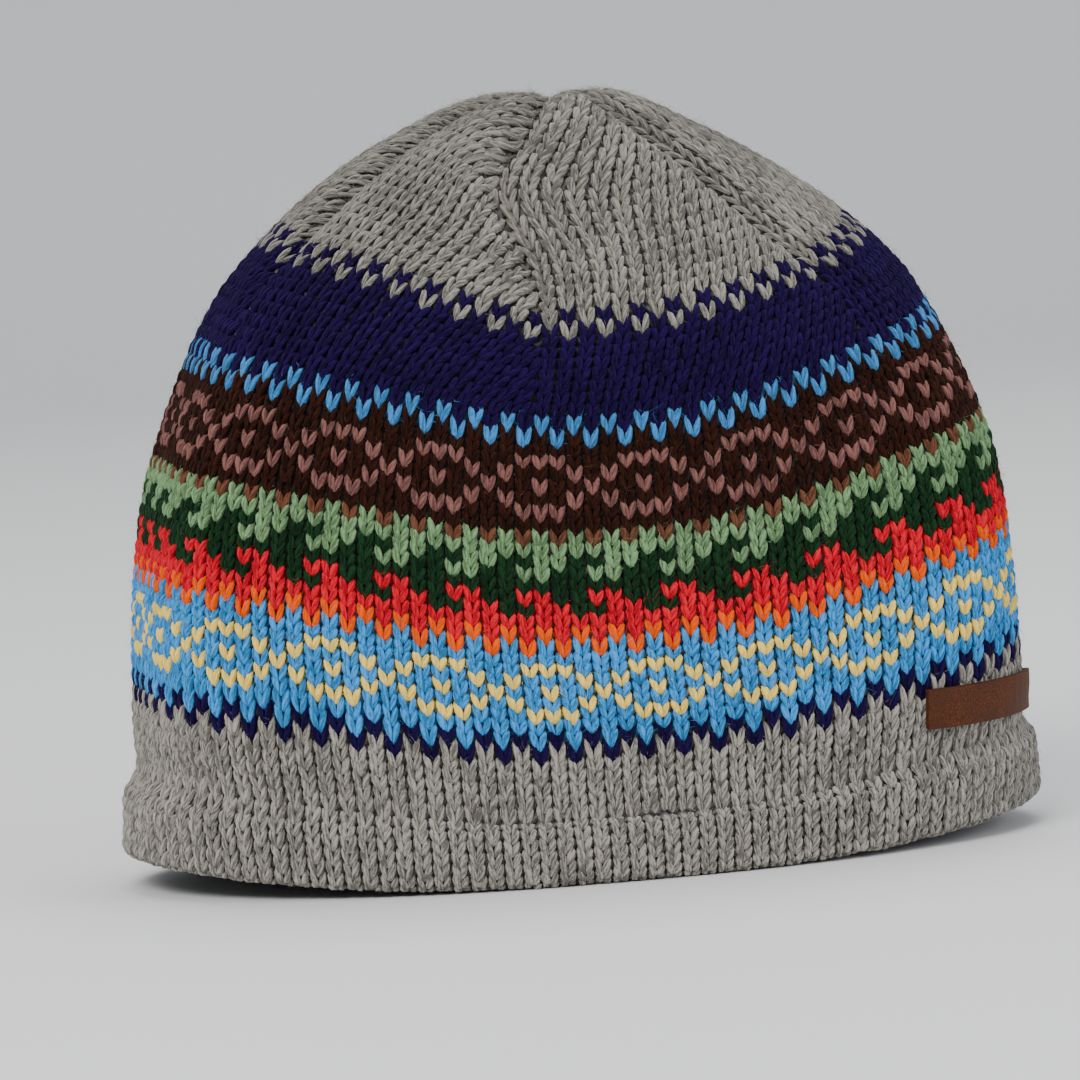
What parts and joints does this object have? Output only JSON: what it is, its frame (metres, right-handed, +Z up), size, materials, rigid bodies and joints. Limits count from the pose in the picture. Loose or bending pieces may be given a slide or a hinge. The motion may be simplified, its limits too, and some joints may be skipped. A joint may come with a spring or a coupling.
{
  "type": "knitted wool hat",
  "caption": "Patterned knitted wool beanie with a turned hem, a darted crown and a leather side strip, open below for a head.",
  "frame": {"origin": "on the surface that the hat stands on, below the middle of its rim", "axes": "+Z up towards the crown, -Y towards the front, +X towards the side with the leather strip, as seen from the front"},
  "size_m": [0.208, 0.1164, 0.1703],
  "materials": {
    "alpaca_knit": "fuzzy stockinette knit in heather grey with coloured bands",
    "brown_leather": "matte, fine grain"
  },
  "bodies": {
    "root": {"knit_cap": "alpaca_knit", "side_label": "brown_leather"}
  },
  "joints": []
}
